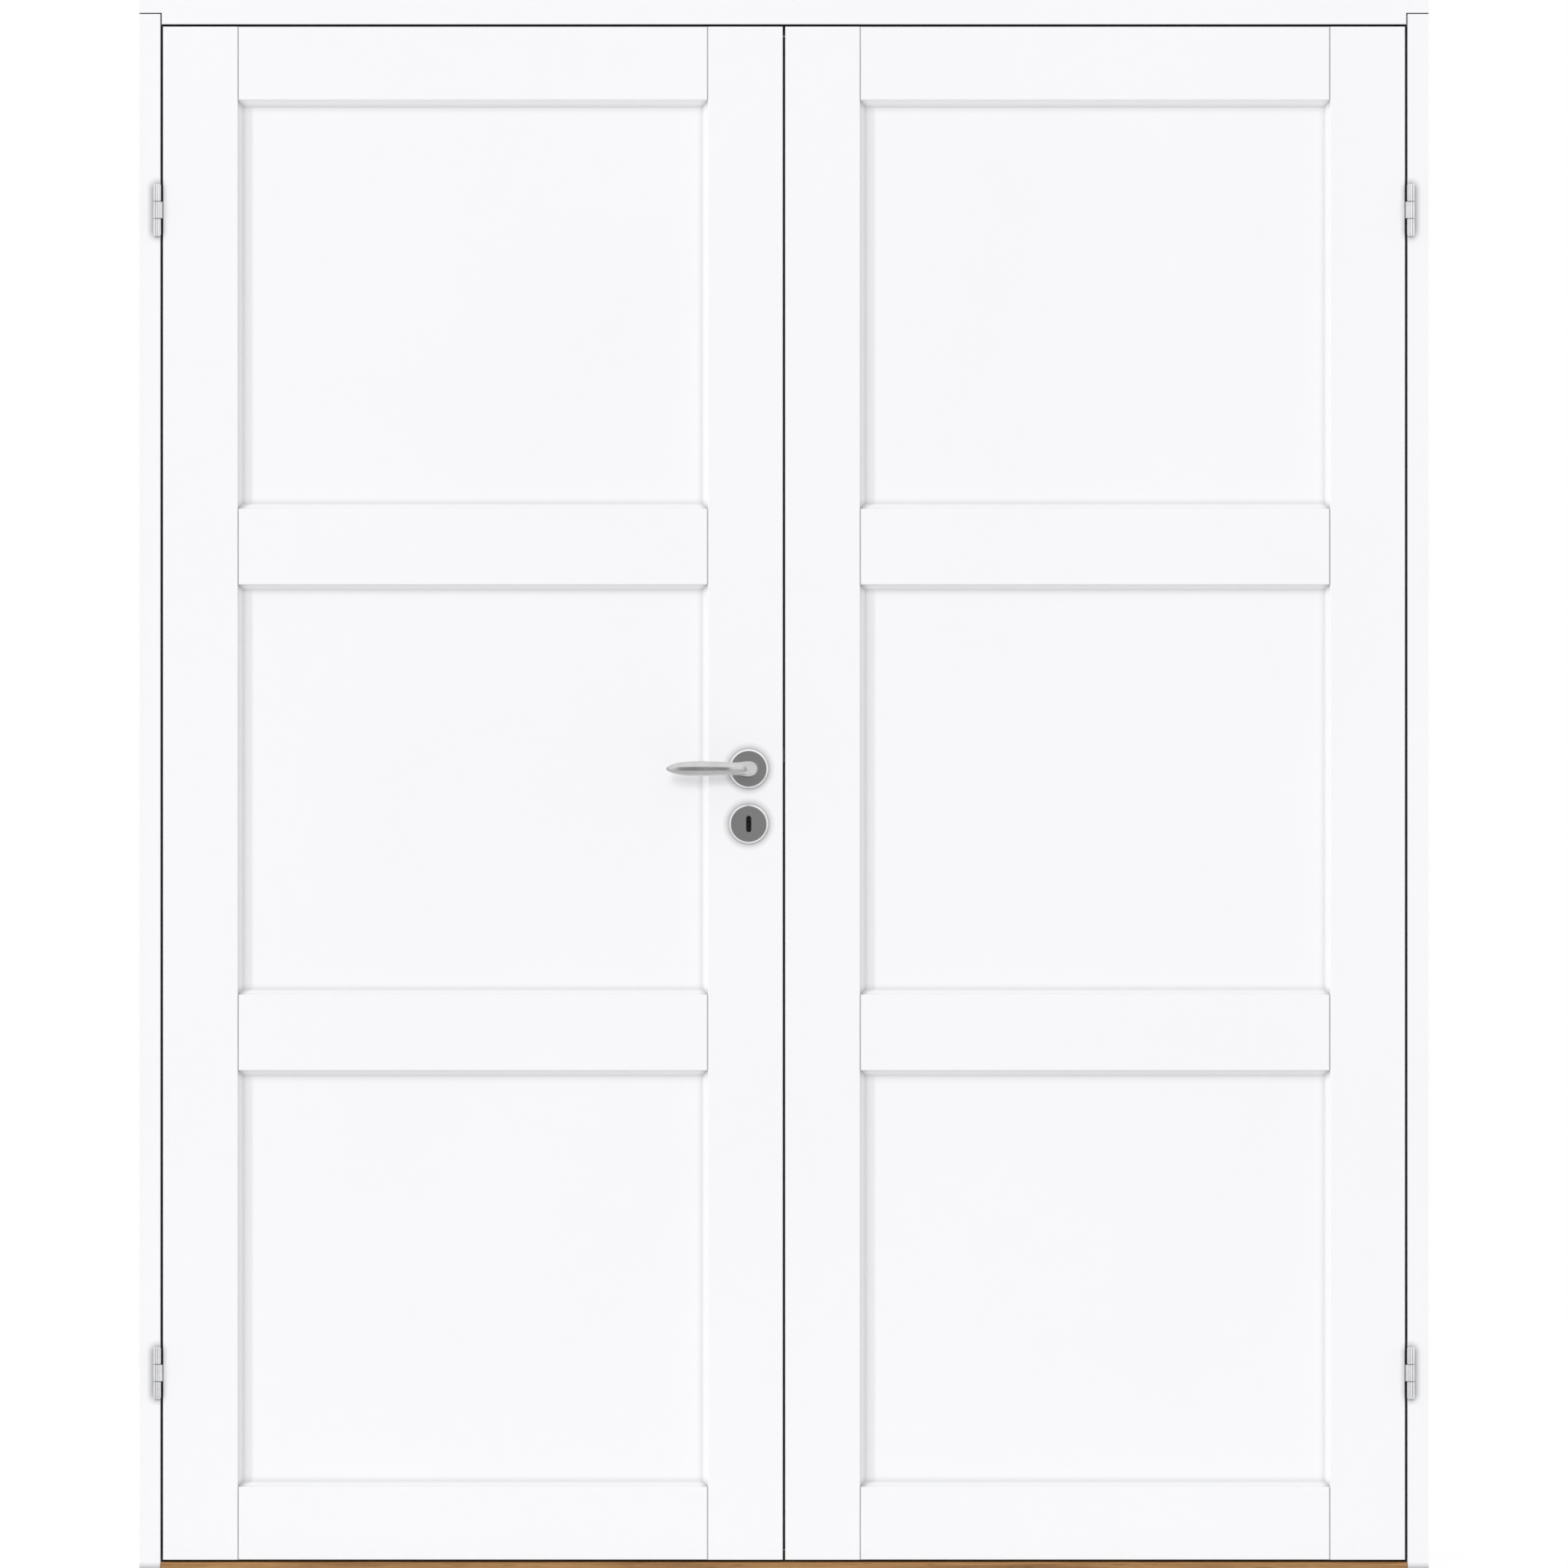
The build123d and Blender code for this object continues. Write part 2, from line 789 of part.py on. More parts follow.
def panel(leaf_left, low, high):
    """A flat panel whose edges stand in the grooves round an opening from z low to z high."""
    inset = stile_width + wall_lean - panel_tongue
    return block(
        (leaf_left + inset, panel_front, low + wall_lean - panel_tongue),
        (leaf_left + leaf_width - inset, panel_back, high - wall_lean + panel_tongue),
    )


upper_rail_top = leaf_top - top_rail_height - upper_opening_height
lower_rail_top = upper_rail_top - middle_rail_height - middle_opening_height
rails = {
    "top_rail": (leaf_top - top_rail_height, top_moulded_edge, leaf_top, plain_edge),
    "upper_rail": (upper_rail_top - middle_rail_height, moulded_edge, upper_rail_top, moulded_edge),
    "lower_rail": (lower_rail_top - middle_rail_height, moulded_edge, lower_rail_top, moulded_edge),
    "bottom_rail": (leaf_bottom, plain_edge, leaf_bottom + bottom_rail_height, moulded_edge),
}
panels = {
    "top_panel": (upper_rail_top, leaf_top - top_rail_height),
    "middle_panel": (lower_rail_top, upper_rail_top - middle_rail_height),
    "bottom_panel": (leaf_bottom + bottom_rail_height, lower_rail_top - middle_rail_height),
}


def hinge_stile():
    """The left leaf's outer stile, let in for the two hinge plates."""
    body = stile(-leaf_outer, plain_edge, -leaf_outer + stile_width, moulded_edge)
    cuts = [
        hinge_pocket(-leaf_outer, -1, centre, leaf_plate_width, leaf_plate_y)
        for centre in hinge_heights.values()
    ]
    return with_cuts(body, cuts + screws_at(leaf_hinge_screws, screw_clearance))


def slot_through(width, height, near, far):
    """An upright slot with round ends at the keyhole, from y near to y far."""
    with BuildPart() as piece:
        with BuildSketch(across_depth(far)):
            with Locations((handle_x, key_height)):
                SlotOverall(height, width, rotation=90)
        extrude(amount=far - near)
    return piece.part


case_front_x = active_edge - forend_thickness
case_back_x = case_front_x - case_depth
case_low = key_height - case_below_key
case_high = handle_height + case_above_handle
case_near = leaf_middle - case_thickness / 2
case_far = leaf_middle + case_thickness / 2
forend_centre = (case_low + case_high) / 2
bolt_half = (case_thickness / 2 - case_wall) - slide_clearance
latch_low = handle_height + latch_above_handle
latch_high = latch_low + latch_height
dead_low = key_height + dead_bolt_above_key
dead_high = dead_low + dead_bolt_height


def end_screws(direction, face_x, centre, length):
    """Places of the two screws near the ends of an upright plate in a meeting edge."""
    reach = length / 2 - screw_margin
    return facing(direction, [(face_x, leaf_middle, centre + side * reach) for side in (-1, 1)])


forend_screws = end_screws(1, active_edge, forend_centre, forend_length)


def lock_stile():
    """The active leaf's meeting stile, mortised for the lock and bored for spindle and key."""
    body = stile(active_edge - stile_width, moulded_edge, active_edge, plain_edge)
    margin = case_clearance
    key_margin = 2 * key_passage_margin
    cuts = [
        block(
            (case_back_x - margin, case_near - margin, case_low - margin),
            (active_edge, case_far + margin, case_high + margin),
        ),
        edge_plate(
            active_edge, 1, forend_centre, forend_width + 2 * margin, forend_length + 2 * margin,
            forend_thickness, forend_width / 2 + margin,
        ),
        depth_bar(handle_x, handle_height, spindle_passage_radius, leaf_front - overcut, leaf_back + overcut),
        slot_through(
            keyhole_width + key_margin, keyhole_height + key_margin, leaf_front - overcut, leaf_back + overcut
        ),
        *screws_at(forend_screws, screw_clearance, lock_screw_length),
    ]
    return with_cuts(body, cuts)


strike_centre = (dead_low + latch_high) / 2
strike_screws = end_screws(-1, passive_edge, strike_centre, strike_length)
flush_ends = {"top": (leaf_top, -1), "bottom": (leaf_bottom, 1)}


def flush_blank(end, clearance=0.0):
    """The bent face plate of a flush bolt, let into the leaf's edge and over its end."""
    height, inward = flush_ends[end]
    half = flush_plate_width / 2 + clearance
    far = height + inward * (flush_plate_length + clearance)
    under = height + inward * flush_plate_thickness
    edge_low, edge_high = sorted((height, far))
    end_low, end_high = sorted((height, under))
    reach = passive_edge + flush_plate_return + clearance
    return joined(
        block((passive_edge, leaf_middle - half, edge_low),
              (passive_edge + flush_plate_thickness, leaf_middle + half, edge_high)),
        block((passive_edge, leaf_middle - half, end_low), (reach, leaf_middle + half, end_high)),
    )


def flush_screws(end):
    """Places of the two screws of a flush bolt's face plate: one in the edge, one in the leaf's end."""
    height, inward = flush_ends[end]
    in_edge = (passive_edge, leaf_middle, height + inward * (flush_plate_length - screw_margin))
    in_end = (passive_edge + flush_plate_return - screw_margin, leaf_middle, height)
    return [*facing(-1, [in_edge]), Location(in_end, (0, 90 + 90 * inward, 0))]


def bolt_hole(low, high, depth):
    """The hole in the strike plate, or the pocket behind it, for one of the lock's bolts."""
    half = bolt_half + strike_play
    return block((passive_edge - overcut, leaf_middle - half, low - strike_play),
                 (passive_edge + depth, leaf_middle + half, high + strike_play))


def knob_slot(end, depth):
    """The slot that a flush bolt's knob slides in, reaching depth in from the meeting edge."""
    height, inward = flush_ends[end]
    middle = height + inward * flush_knob_from_end
    half_width = flush_knob_width / 2 + slide_clearance
    half_height = flush_knob_height / 2 + slide_clearance
    shift = -inward * flush_travel
    low, high = sorted((middle, middle + shift))
    return block((passive_edge - overcut, leaf_middle - half_width, low - half_height),
                 (passive_edge + depth, leaf_middle + half_width, high + half_height))


def flush_bore(end):
    """The bore that a flush bolt slides in, open at the leaf's end."""
    height, inward = flush_ends[end]
    inner_end = height + inward * (flush_rod_length + 2 * flush_rod_set_in)
    low, high = sorted((height - inward * overcut, inner_end))
    return bar(flush_x, leaf_middle, flush_rod_radius + slide_clearance, low, high)


def meeting_stile():
    """The passive leaf's meeting stile, let in for the strike plate and both flush bolts."""
    body = stile(passive_edge, plain_edge, passive_edge + stile_width, moulded_edge)
    cuts = [
        edge_plate(
            passive_edge, -1, strike_centre, strike_width + 2 * strike_clearance,
            strike_length + 2 * strike_clearance, strike_thickness, strike_width / 2,
        ),
        bolt_hole(latch_low, latch_high, strike_pocket_depth),
        bolt_hole(dead_low, dead_high, strike_pocket_depth),
        *screws_at(strike_screws, screw_clearance),
    ]
    for end in flush_ends:
        cuts.append(flush_blank(end, case_clearance))
        cuts.append(knob_slot(end, flush_x - passive_edge))
        cuts.append(flush_bore(end))
        cuts += screws_at(flush_screws(end), screw_clearance)
    return with_cuts(body, cuts)


def make_leaf(prefix, leaf_left, left_name, left_stile, right_name, right_stile):
    """Writes the nine wooden pieces of one leaf."""
    finish(f"{prefix}_{left_name}", left_stile)
    finish(f"{prefix}_{right_name}", right_stile)
    blanks = (
        stile(leaf_left, plain_edge, leaf_left + stile_width, moulded_edge),
        stile(leaf_left + leaf_width - stile_width, moulded_edge, leaf_left + leaf_width, plain_edge),
    )
    for name, (low, low_edge, high, high_edge) in rails.items():
        finish(f"{prefix}_{name}", rail(leaf_left, low, low_edge, high, high_edge, blanks))
    for name, (low, high) in panels.items():
        finish(f"{prefix}_{name}", panel(leaf_left, low, high))


outer_stile = hinge_stile()
make_leaf("active", -leaf_outer, "hinge_stile", outer_stile, "lock_stile", lock_stile())
make_leaf("passive", passive_edge, "meeting_stile", meeting_stile(), "hinge_stile", flipped(outer_stile))

# Cover strip behind the meeting gap, on the passive leaf
strip_low = threshold_back_height + cover_strip_end_gap
strip_high = stop_top - cover_strip_end_gap
strip_left = passive_edge - cover_strip_overlap
strip_right = strip_left + cover_strip_width
strip_outer = leaf_back + cover_strip_thickness
strip_points = [
    (strip_left, leaf_back + seal_clearance),
    (passive_edge, leaf_back + seal_clearance),
    (passive_edge, leaf_back),
    (strip_right, leaf_back),
    (strip_right, strip_outer - cover_strip_bevel),
    (strip_right - cover_strip_bevel, strip_outer),
    (strip_left + cover_strip_bevel, strip_outer),
    (strip_left, strip_outer - cover_strip_bevel),
]
cover_strip = outline_extrusion(Plane.XY.offset(strip_low), strip_points, strip_high - strip_low)
finish("cover_strip", cover_strip)


# Mortice lock
def case_holes():
    """The follower's bearing and the keyhole, through the case and its cover."""
    near = case_near - overcut
    far = case_far + overcut
    return [
        depth_bar(handle_x, handle_height, hub_boss_radius + hub_boss_clearance, near, far),
        slot_through(keyhole_width, keyhole_height, near, far),
    ]


def lock_case():
    """The case: a flat steel box, open towards the forend and on the cover's side."""
    with BuildPart() as piece:
        add(block((case_back_x, case_near, case_low), (case_front_x, case_far - case_wall, case_high)))
        add(
            block(
                (case_back_x + case_wall, case_near + case_wall, case_low + case_wall),
                (case_front_x + overcut, case_far, case_high - case_wall),
            ),
            mode=Mode.SUBTRACT,
        )
    return with_cuts(piece.part, case_holes())


def lock_cover():
    """The lid of the case, with the other bearing for the follower."""
    plate = block((case_back_x, case_far - case_wall, case_low), (case_front_x, case_far, case_high))
    return with_cuts(plate, case_holes())


def lock_forend():
    """The forend plate, flush in the leaf's edge, with holes for both bolts."""
    plate = edge_plate(
        active_edge, 1, forend_centre, forend_width, forend_length, forend_thickness, forend_width / 2
    )
    half = bolt_half + slide_clearance
    cuts = screws_at(forend_screws, screw_clearance, lock_screw_length)
    for low, high in ((latch_low, latch_high), (dead_low, dead_high)):
        cuts.append(block((case_front_x - overcut, leaf_middle - half, low - slide_clearance),
                          (active_edge + overcut, leaf_middle + half, high + slide_clearance)))
    return with_cuts(plate, cuts)


def spindle_hole(near, far):
    """A square hole a little larger than the spindle, from y near to y far."""
    half = spindle_side / 2 + spindle_clearance
    return block((handle_x - half, near, handle_height - half), (handle_x + half, far, handle_height + half))


def follower():
    """The lock's follower: a hub in the case's bearings, with an arm up behind the latch's prong."""
    near = case_near + case_wall + hub_side_clearance
    far = case_far - case_wall - hub_side_clearance
    arm = block((handle_x - hub_arm_width / 2, near, handle_height),
                (handle_x + hub_arm_width / 2, far, handle_height + hub_arm_reach))
    body = joined(
        depth_bar(handle_x, handle_height, hub_radius, near, far),
        depth_bar(handle_x, handle_height, hub_boss_radius, case_near, case_far),
        arm,
    )
    return with_cuts(body, [spindle_hole(case_near - overcut, case_far + overcut)])


def latch_bolt():
    """The latch bolt: a bevelled head through the forend, a tail over the follower, and a prong."""
    tip = active_edge + latch_reach
    head_back = tip - latch_head_length
    near = leaf_middle - bolt_half
    far = leaf_middle + bolt_half
    head_points = [
        (head_back, near),
        (tip, near),
        (tip, near + latch_nose),
        (active_edge + latch_bevel_start, far),
        (head_back, far),
    ]
    tail_low = handle_height + hub_arm_reach + latch_tail_above_arm
    prong_right = handle_x - hub_arm_width / 2 - latch_prong_gap
    prong_left = prong_right - latch_prong_width
    return joined(
        outline_extrusion(Plane.XY.offset(latch_low), head_points, latch_height),
        block((prong_left, near, tail_low), (head_back, far, tail_low + latch_tail_height)),
        block((prong_left, near, handle_height + hub_radius + latch_tail_above_arm),
              (prong_right, far, tail_low)),
    )


def dead_bolt():
    """The dead bolt, drawn back: a square head just inside the forend, and a tail above the key."""
    tip = active_edge - dead_bolt_set_in
    head_back = tip - dead_bolt_head_length
    near = leaf_middle - bolt_half
    far = leaf_middle + bolt_half
    tail_low = dead_high - dead_bolt_tail_height
    return joined(
        block((head_back, near, dead_low), (tip, far, dead_high)),
        block((head_back - dead_bolt_tail_length, near, tail_low), (head_back, far, dead_high)),
    )


finish("lock_case", lock_case())
finish("lock_cover", lock_cover())
finish("lock_forend", lock_forend())
finish("follower", follower())
finish("latch_bolt", latch_bolt())
finish("dead_bolt", dead_bolt())


def strike_plate():
    """The strike plate, flush in the passive leaf's edge."""
    plate = edge_plate(
        passive_edge, -1, strike_centre, strike_width, strike_length, strike_thickness, strike_width / 2
    )
    cuts = [
        bolt_hole(latch_low, latch_high, strike_pocket_depth),
        bolt_hole(dead_low, dead_high, strike_pocket_depth),
        *screws_at(strike_screws, screw_clearance),
    ]
    return with_cuts(plate, cuts)


finish("strike_plate", strike_plate())


# Flush bolts
def flush_plate(end):
    """The face plate, with the slot for the bolt's knob and the hole for its rod."""
    cuts = [knob_slot(end, flush_plate_thickness + overcut), flush_bore(end)]
    return with_cuts(flush_blank(end), cuts + screws_at(flush_screws(end), screw_clearance))


def flush_bolt(end):
    """A round rod, drawn back into the leaf's end, with a knob in the face plate's slot."""
    height, inward = flush_ends[end]
    start = height + inward * flush_rod_set_in
    low, high = sorted((start, start + inward * flush_rod_length))
    middle = height + inward * flush_knob_from_end
    half_width = flush_knob_width / 2
    half_height = flush_knob_height / 2
    knob = block((passive_edge + flush_knob_set_in, leaf_middle - half_width, middle - half_height),
                 (flush_x, leaf_middle + half_width, middle + half_height))
    return joined(bar(flush_x, leaf_middle, flush_rod_radius, low, high), knob)


for end in flush_ends:
    finish(f"{end}_bolt_plate", flush_plate(end))
    finish(f"{end}_flush_bolt", flush_bolt(end))

# Screws of each leaf
active_screws = screws_at(leaf_hinge_screws) + screws_at(forend_screws, 0, lock_screw_length)
finish("active_leaf_screws", joined(*active_screws))
passive_screws = [flipped(one) for one in screws_at(leaf_hinge_screws)] + screws_at(strike_screws)
for end in flush_ends:
    passive_screws += screws_at(flush_screws(end))
finish("passive_leaf_screws", joined(*passive_screws))


# Roses, escutcheons and levers
def disc_cover(centre_z, hole):
    """A hollow round cover on the front face, with a bevelled rim and a hole in its face."""
    bevel = rose_radius - rose_face_radius
    outer = [
        (0, 0), (rose_radius, 0), (rose_radius, rose_thickness - bevel),
        (rose_face_radius, rose_thickness), (0, rose_thickness),
    ]
    inner_radius = rose_radius - rose_wall
    inner = [
        (0, -overcut), (inner_radius, -overcut), (inner_radius, rose_thickness - bevel - rose_wall / 2),
        (rose_face_radius - rose_wall / 2, rose_thickness - rose_wall), (0, rose_thickness - rose_wall),
    ]
    base = Plane(origin=(handle_x, leaf_front, centre_z), x_dir=(1, 0, 0), z_dir=(0, 0, 1))
    with BuildPart() as piece:
        for points, mode in ((outer, Mode.ADD), (inner, Mode.SUBTRACT)):
            with BuildSketch(base):
                with BuildLine():
                    Polyline(*[(radius, -out) for radius, out in points], close=True)
                make_face()
            revolve(axis=Axis((handle_x, leaf_front, centre_z), (0, 1, 0)), mode=mode)
    return with_cuts(piece.part, [hole])


def to_back(piece):
    """The same piece on the leaf's back face."""
    return mirror(piece, about=Plane.XZ.offset(-leaf_middle), mode=Mode.PRIVATE)


rose_near = leaf_front - rose_thickness - overcut
neck_hole = depth_bar(handle_x, handle_height, neck_radius + neck_clearance, rose_near, leaf_front)
key_slot = slot_through(keyhole_width, keyhole_height, rose_near, leaf_front)
front_rose = disc_cover(handle_height, neck_hole)
front_escutcheon = disc_cover(key_height, key_slot)
finish("front_rose", front_rose)
finish("back_rose", to_back(front_rose))
finish("front_escutcheon", front_escutcheon)
finish("back_escutcheon", to_back(front_escutcheon))


def lever():
    """The front lever: a round neck, a knee, and a cigar-shaped grip, lofted through ellipses."""
    neck_start = leaf_front - rose_thickness + neck_sunk
    knee_start = leaf_front - grip_stand + knee_radius
    stations = [(0.0, knee_start, 0.0, neck_radius, neck_radius)]
    for angle, half_height, half_depth in knee_sections:
        turn = radians(angle)
        along = knee_radius * (1 - cos(turn))
        stations.append((along, knee_start - knee_radius * sin(turn), angle, half_height, half_depth))
    for along, half_height, half_depth in grip_sections:
        stations.append((along, leaf_front - grip_stand, 90.0, half_height, half_depth))
    faces = []
    for along, y, angle, half_height, half_depth in stations:
        turn = radians(angle)
        ahead = (-sin(turn), -cos(turn), 0)
        plane = Plane(origin=(handle_x - along, y, handle_height), x_dir=(0, 0, 1), z_dir=ahead)
        with BuildSketch(plane) as section:
            Ellipse(half_height, half_depth)
        faces.append(section.sketch)
    tip = Vertex(handle_x - lever_reach, leaf_front - grip_stand, handle_height)
    with BuildPart() as piece:
        loft(sections=[*faces, tip])
        add(depth_bar(handle_x, handle_height, neck_radius, knee_start, neck_start))
    socket = spindle_hole(neck_start - spindle_in_neck, neck_start + overcut)
    return with_cuts(piece.part, [socket, grub_hole(grub_radius + grub_clearance)])


grub_y = leaf_front - rose_thickness - grub_before_rose


def grub_hole(radius):
    """The grub screw's hole, up into the neck from below."""
    low = handle_height - neck_radius - overcut
    return bar(handle_x, grub_y, radius, low, handle_height - spindle_side / 2)


def grub_screw():
    """A headless set screw that bears on the spindle."""
    top = handle_height - spindle_side / 2
    return bar(handle_x, grub_y, grub_radius, top - grub_length + grub_set_in, top)


front_lever = lever()
finish("front_lever", front_lever)
finish("back_lever", to_back(front_lever))
finish("grub_screws", joined(grub_screw(), to_back(grub_screw())))
spindle_reach = rose_thickness - neck_sunk + spindle_in_neck - spindle_end_gap
spindle = block(
    (handle_x - spindle_side / 2, leaf_front - spindle_reach, handle_height - spindle_side / 2),
    (handle_x + spindle_side / 2, leaf_back + spindle_reach, handle_height + spindle_side / 2),
)
finish("spindle", spindle)
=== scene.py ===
import json
import math

import bpy
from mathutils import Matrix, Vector


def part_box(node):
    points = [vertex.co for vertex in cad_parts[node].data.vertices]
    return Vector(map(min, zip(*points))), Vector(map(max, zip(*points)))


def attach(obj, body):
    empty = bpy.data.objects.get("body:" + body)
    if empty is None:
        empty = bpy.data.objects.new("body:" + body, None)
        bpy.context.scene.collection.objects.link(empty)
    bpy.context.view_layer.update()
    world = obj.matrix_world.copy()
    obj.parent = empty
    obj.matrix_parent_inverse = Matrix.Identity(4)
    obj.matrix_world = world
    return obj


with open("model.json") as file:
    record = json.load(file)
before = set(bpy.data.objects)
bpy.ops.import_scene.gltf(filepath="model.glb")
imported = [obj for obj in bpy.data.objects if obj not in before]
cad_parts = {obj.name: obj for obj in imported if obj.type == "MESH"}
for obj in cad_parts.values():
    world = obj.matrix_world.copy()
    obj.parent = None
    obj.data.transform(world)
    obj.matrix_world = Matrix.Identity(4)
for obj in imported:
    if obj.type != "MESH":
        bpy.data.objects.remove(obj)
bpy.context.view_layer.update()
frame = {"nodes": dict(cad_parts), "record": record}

# The photograph: its side in pixels, and the length that a pixel covers at the leaves' faces
photo_side = 1932
metres_per_pixel = 0.00108
view_side = photo_side * metres_per_pixel
camera_distance = 40.0
camera_sensor = 0.036

# Light: the share that the surroundings and each lamp give a face that is turned to the viewer
ambient_level = 0.665
key_level = 0.24
side_level = 0.195

# The key lamp is a little above and left of the viewer, and the tall side lamp is far to the left.
key_slope = (-0.10, -1.0, 0.24)
key_softness = math.radians(14)
side_slope = (-1.85, -1.0)
side_distance = 40.0
side_lamp_width = 2.7
side_lamp_height = 40.0

# Grey cards, which only gloss shows: one before the handle, one just above the floor, and one beside
# the hinges of each side
card_level = 0.25
card_middle = (-0.31, -2.2, 1.05)
card_half_width = 0.51
card_half_height = 0.85
low_card_level = 0.70
low_card_height = 0.004
low_card_half_side = 6.0
hinge_card_level = 0.36
hinge_card_slope = (1.5, -1.0)
hinge_card_distance = 1.0
hinge_card_width = 0.45
hinge_card_inset = 0.004
hinge_card_overhang = 0.3

# The floor: one colour lights the doors, and the other one and the glow are what is seen of it.
floor_middle = (0.0, 2.0, 0.0)
floor_half_width = 14.0
floor_half_depth = 12.0
floor_lit_colour = (0.78, 0.78, 0.78)
floor_seen_colour = (0.26, 0.26, 0.26)
floor_glow = 0.82

# Painted shade in corners of lacquer: how far from another surface they are shaded, how steeply, and how
# finely
corner_reach = 0.010
corner_power = 1.15
corner_samples = 8

# Colours, linear
lacquer_colour = (0.915, 0.915, 0.93)
lacquer_shade = (0.906, 0.906, 0.921)
oak_light = (0.460, 0.249, 0.087)
oak_middle = (0.332, 0.162, 0.050)
oak_dark = (0.184, 0.083, 0.023)
oak_pore = (0.45, 0.40, 0.36)
no_pore = (1.0, 1.0, 1.0)
rubber_colour = (0.012, 0.012, 0.013)
rubber_dust = (0.028, 0.028, 0.029)
nickel_colour = (0.88, 0.885, 0.895)
handle_colour = (0.67, 0.67, 0.67)
# The rose's face colour is darkened as a painted dark reflection, and its rim colour is a painted
# highlight.
rose_face_dark_reflection_colour = (0.42, 0.42, 0.42)
rose_rim_highlight_colour = (0.95, 0.95, 0.955)
steel_colour = (0.62, 0.61, 0.59)
screw_colour = (0.70, 0.70, 0.69)
zinc_colour = (0.66, 0.64, 0.58)
# The curtain's dark colour is painted shade inside the keyhole.
curtain_shade_colour = (0.16, 0.16, 0.16)
# The pin's dark colour is painted shade in the hinges' knuckle gaps.
pin_gap_shade_colour = (0.16, 0.155, 0.15)
# The bolts' dark colour is painted shade for where they sit in the meeting gap.
bolt_gap_shade_colour = (0.20, 0.195, 0.19)

# Metals: the depth of brushing, the rings that turning leaves on a rose, and how far from a hinge's
# middle its pin is dark, as painted shade in the knuckle gaps
scratch_depth = 0.000004
rings_per_metre = 9000.0
ring_depth = 0.000002
pin_gap_shade_reach = 0.025

# The bright rim of a rose is its bevel, coloured bright as a painted highlight.
rose_bevel = 0.00225
rose_low, rose_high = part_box("front_rose")
face_radius = (rose_high[0] - rose_low[0]) / 2 - rose_bevel

# The key's disc: its radius, and points on each side of it, (radius, depth), from the hub's end to its edge
curtain_radius = 0.0130
curtain_outline = [(0.0020, 0.0030), (0.0034, 0.0026), (0.0036, 0.0012), (0.0118, 0.0008)]


def centre_of(name):
    """The middle of a node's box."""
    return [(low + high) / 2 for low, high in zip(*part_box(name))]


class Finish:
    """A material, with short calls that add nodes to it."""

    def __init__(self, name, colour, roughness, metallic=0.0):
        self.material = bpy.data.materials.new(name)
        self.material.use_nodes = True
        self.tree = self.material.node_tree
        self.shader = self.tree.nodes["Principled BSDF"]
        self.connect(
            self.shader, {"Base Color": (*colour, 1.0), "Roughness": roughness, "Metallic": metallic}
        )
        self.place = self.add("ShaderNodeTexCoord").outputs["Object"]

    def connect(self, node, inputs):
        """Sets each input to a value, or links it to another node's output."""
        for name, value in inputs.items():
            if isinstance(value, bpy.types.NodeSocket):
                self.tree.links.new(value, node.inputs[name])
            else:
                node.inputs[name].default_value = value

    def add(self, kind, inputs=None, **settings):
        """A new node of this kind."""
        node = self.tree.nodes.new(kind)
        for name, value in settings.items():
            setattr(node, name, value)
        self.connect(node, inputs or {})
        return node

    def coordinate(self, axis):
        """The surface's place along one axis."""
        return self.add("ShaderNodeSeparateXYZ", {"Vector": self.place}).outputs[axis]

    def stretched(self, scale):
        """The surface's place, scaled along each axis."""
        return self.add("ShaderNodeMapping", {"Vector": self.place, "Scale": scale}).outputs["Vector"]

    def noise(self, vector, scale, detail=2.0, roughness=0.5, distortion=0.0):
        """Noise about 0.5."""
        inputs = {
            "Vector": vector, "Scale": scale, "Detail": detail,
            "Roughness": roughness, "Distortion": distortion,
        }
        return self.add("ShaderNodeTexNoise", inputs).outputs["Fac"]

    def math(self, operation, first, second=0.0):
        """One sum on two numbers."""
        return self.add("ShaderNodeMath", {0: first, 1: second}, operation=operation).outputs[0]

    def ramp(self, factor, stops):
        """A colour between the stops, each (place, colour)."""
        node = self.add("ShaderNodeValToRGB", {"Fac": factor})
        elements = node.color_ramp.elements
        while len(elements) < len(stops):
            elements.new(1.0)
        for element, (place, colour) in zip(elements, stops):
            element.position = place
            element.color = (*colour, 1.0)
        return node.outputs["Color"]

    def between(self, factor, low, high):
        """A number between low and high, as factor goes from 0 to 1."""
        node = self.add("ShaderNodeMapRange", {"Value": factor, "To Min": low, "To Max": high})
        return node.outputs["Result"]

    def multiplied(self, share, first, second):
        """The first colour, darkened by this share of the second one."""
        inputs = {"Fac": share, "Color1": first, "Color2": second}
        return self.add("ShaderNodeMixRGB", inputs, blend_type="MULTIPLY").outputs["Color"]

    def painted_corner_shade(self, colour):
        """The colour with painted shade: darker where other surfaces stand closer than corner_reach."""
        inputs = {"Distance": corner_reach}
        openness = self.add("ShaderNodeAmbientOcclusion", inputs, samples=corner_samples).outputs["AO"]
        return self.multiplied(1.0, colour, self.math("POWER", openness, corner_power))

    def bump(self, height, distance, normal=None):
        """The surface with small hills of this distance."""
        inputs = {"Height": height, "Distance": distance, "Strength": 1.0}
        if normal is not None:
            inputs["Normal"] = normal
        return self.add("ShaderNodeBump", inputs).outputs["Normal"]

    def dress(self, **inputs):
        """Links outputs to the shader: its names have underscores here for spaces."""
        self.connect(self.shader, {name.replace("_", " "): value for name, value in inputs.items()})
        return self.material


